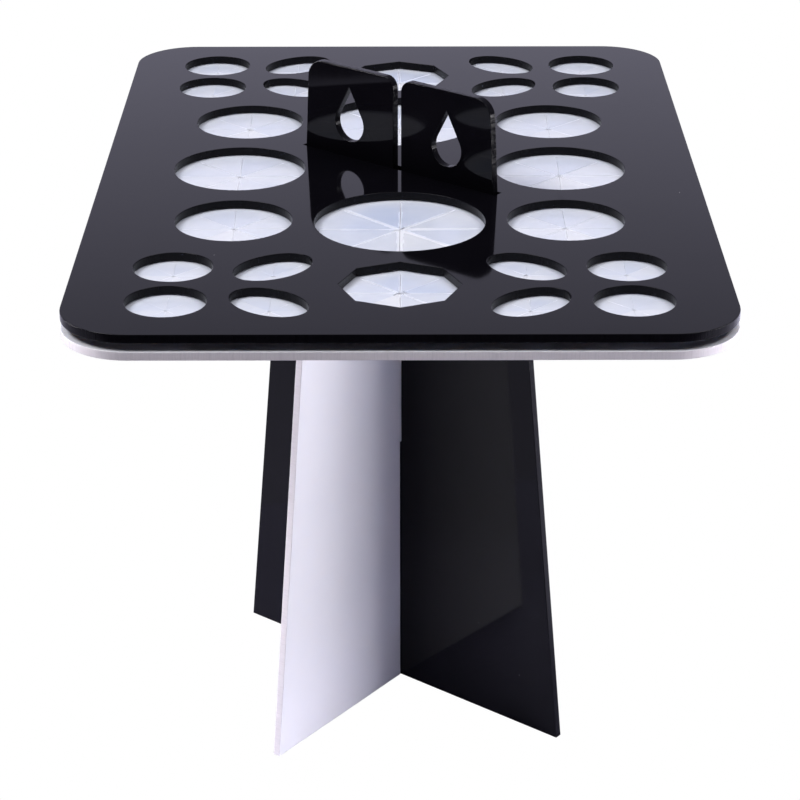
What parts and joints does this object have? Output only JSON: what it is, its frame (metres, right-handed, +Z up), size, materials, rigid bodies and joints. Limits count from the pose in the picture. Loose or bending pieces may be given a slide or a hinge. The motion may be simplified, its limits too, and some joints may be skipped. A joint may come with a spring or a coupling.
{
  "type": "brush drying rack",
  "caption": "Flat-pack acrylic rack that hangs wet brushes in slit membranes: a two-plate tray with round, oval and octagonal openings on a crossed-panel stand.",
  "frame": {"origin": "on the floor, under the centre of the tray, where the two stand panels cross", "axes": "+Z up; +X to the right across the tray's short side; +Y to the back along the tray's long side"},
  "size_m": [0.148, 0.217, 0.1683],
  "materials": {
    "black_acrylic": "high gloss cast sheet with laser-cut edges",
    "white_acrylic": "high gloss cast sheet with laser-cut edges",
    "membrane": "milky translucent silicone, satin"
  },
  "bodies": {
    "black_panel": {"black_panel": "black_acrylic"},
    "white_panel": {"white_panel": "white_acrylic"},
    "tray": {"lower_plate": "white_acrylic", "top_plate": "black_acrylic", "star_membrane": "membrane", "spacer_left_middle": "white_acrylic", "spacer_left_front": "white_acrylic", "spacer_inner_left_front": "white_acrylic", "spacer_left_back": "white_acrylic", "spacer_inner_left_back": "white_acrylic", "spacer_right_middle": "white_acrylic", "spacer_right_front": "white_acrylic", "spacer_inner_right_front": "white_acrylic", "spacer_right_back": "white_acrylic", "spacer_inner_right_back": "white_acrylic"}
  },
  "joints": [
    {"name": "white_panel_lift", "type": "slide", "parent": "black_panel", "child": "white_panel", "axis": [0, 0, 1], "range_m": [0, 0.075]},
    {"name": "tray_lift", "type": "slide", "parent": "white_panel", "child": "tray", "axis": [0, 0, 1], "range_m": [0, 0.033]}
  ]
}
